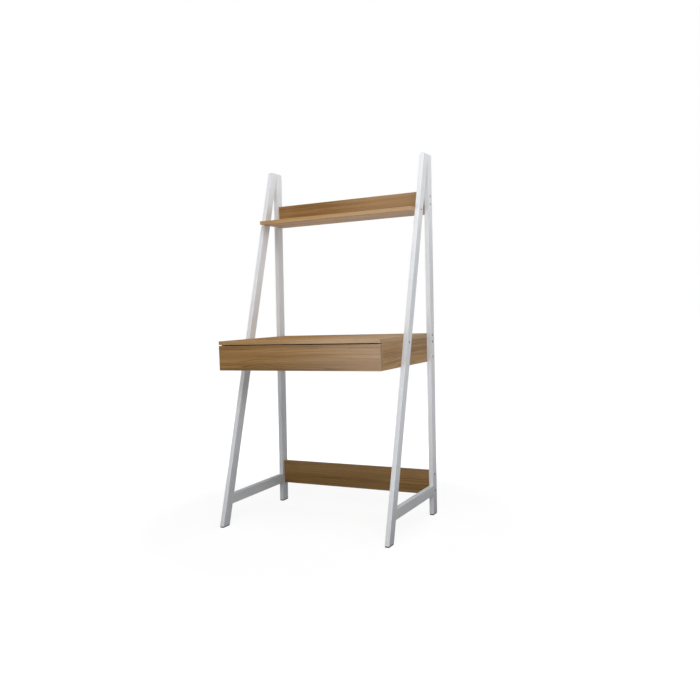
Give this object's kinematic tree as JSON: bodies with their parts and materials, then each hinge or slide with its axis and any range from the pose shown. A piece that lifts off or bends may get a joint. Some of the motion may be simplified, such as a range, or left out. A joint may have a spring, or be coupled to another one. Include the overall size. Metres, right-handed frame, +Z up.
{
  "type": "ladder desk",
  "caption": "Ladder-style desk with white A-shaped side frames that carry an oak-effect desk box with a full-width drawer, an upper shelf with a back board and a low back panel.",
  "frame": {"origin": "on the floor, at the middle of the part's width and depth", "axes": "+Z up, +Y to the back, +X to the right of someone who stands in front of the desk"},
  "size_m": [0.76, 0.5572, 1.512],
  "materials": {
    "oak_board": "oak-effect board with a satin surface",
    "white_leg": "solid wood in satin white paint",
    "pale_board": "plain pale board, matt",
    "foot_pad": "dark matt pad",
    "dark_bolt": "dark coated steel",
    "zinc_steel": "bright zinc-plated steel",
    "beech_dowel": "plain beech",
    "ball_steel": "polished bearing steel"
  },
  "bodies": {
    "frame": {"apex_dowels": "beech_dowel", "desk_back_panel": "oak_board", "desk_barrel_nuts": "zinc_steel", "desk_bolts": "dark_bolt", "desk_insert_nuts": "zinc_steel", "desk_left_panel": "oak_board", "desk_right_panel": "oak_board", "desktop": "oak_board", "desktop_cam_discs": "zinc_steel", "desktop_cam_pins": "zinc_steel", "desktop_dowels": "beech_dowel", "left_front_foot_pad": "foot_pad", "left_front_leg": "white_leg", "left_rear_foot_pad": "foot_pad", "left_rear_leg": "white_leg", "left_runner_outer": "zinc_steel", "left_side_rail": "white_leg", "low_back_panel": "oak_board", "low_panel_barrel_nuts": "zinc_steel", "low_panel_bolts": "dark_bolt", "rail_dowels": "beech_dowel", "right_front_foot_pad": "foot_pad", "right_front_leg": "white_leg", "right_rear_foot_pad": "foot_pad", "right_rear_leg": "white_leg", "right_runner_outer": "zinc_steel", "right_side_rail": "white_leg", "runner_case_screws": "zinc_steel", "shelf_barrel_nuts": "zinc_steel", "shelf_board": "oak_board", "shelf_bolts": "dark_bolt", "shelf_screws": "zinc_steel", "shelf_upright": "oak_board"},
    "drawer": {"drawer_back": "pale_board", "drawer_back_screws": "zinc_steel", "drawer_bottom": "pale_board", "drawer_cam_discs": "zinc_steel", "drawer_cam_pins": "zinc_steel", "drawer_front": "oak_board", "drawer_front_dowels": "beech_dowel", "drawer_left_side": "pale_board", "drawer_right_side": "pale_board", "left_runner_inner": "zinc_steel", "right_runner_inner": "zinc_steel", "runner_drawer_screws": "zinc_steel"},
    "left_cage": {"left_ball_cage": "zinc_steel", "left_runner_balls": "ball_steel"},
    "right_cage": {"right_ball_cage": "zinc_steel", "right_runner_balls": "ball_steel"}
  },
  "joints": [
    {"name": "drawer_slide", "type": "slide", "parent": "frame", "child": "drawer", "axis": [0, -1, 0], "range_m": [0, 0.3]},
    {"name": "left_cage_slide", "type": "slide", "parent": "frame", "child": "left_cage", "axis": [0, -1, 0], "range_m": [0, 0.15]},
    {"name": "right_cage_slide", "type": "slide", "parent": "frame", "child": "right_cage", "axis": [0, -1, 0], "range_m": [0, 0.15]}
  ],
  "couplings": [
    {"joint": "left_cage_slide", "follows": "drawer_slide", "ratio": 0.5},
    {"joint": "right_cage_slide", "follows": "drawer_slide", "ratio": 0.5}
  ]
}
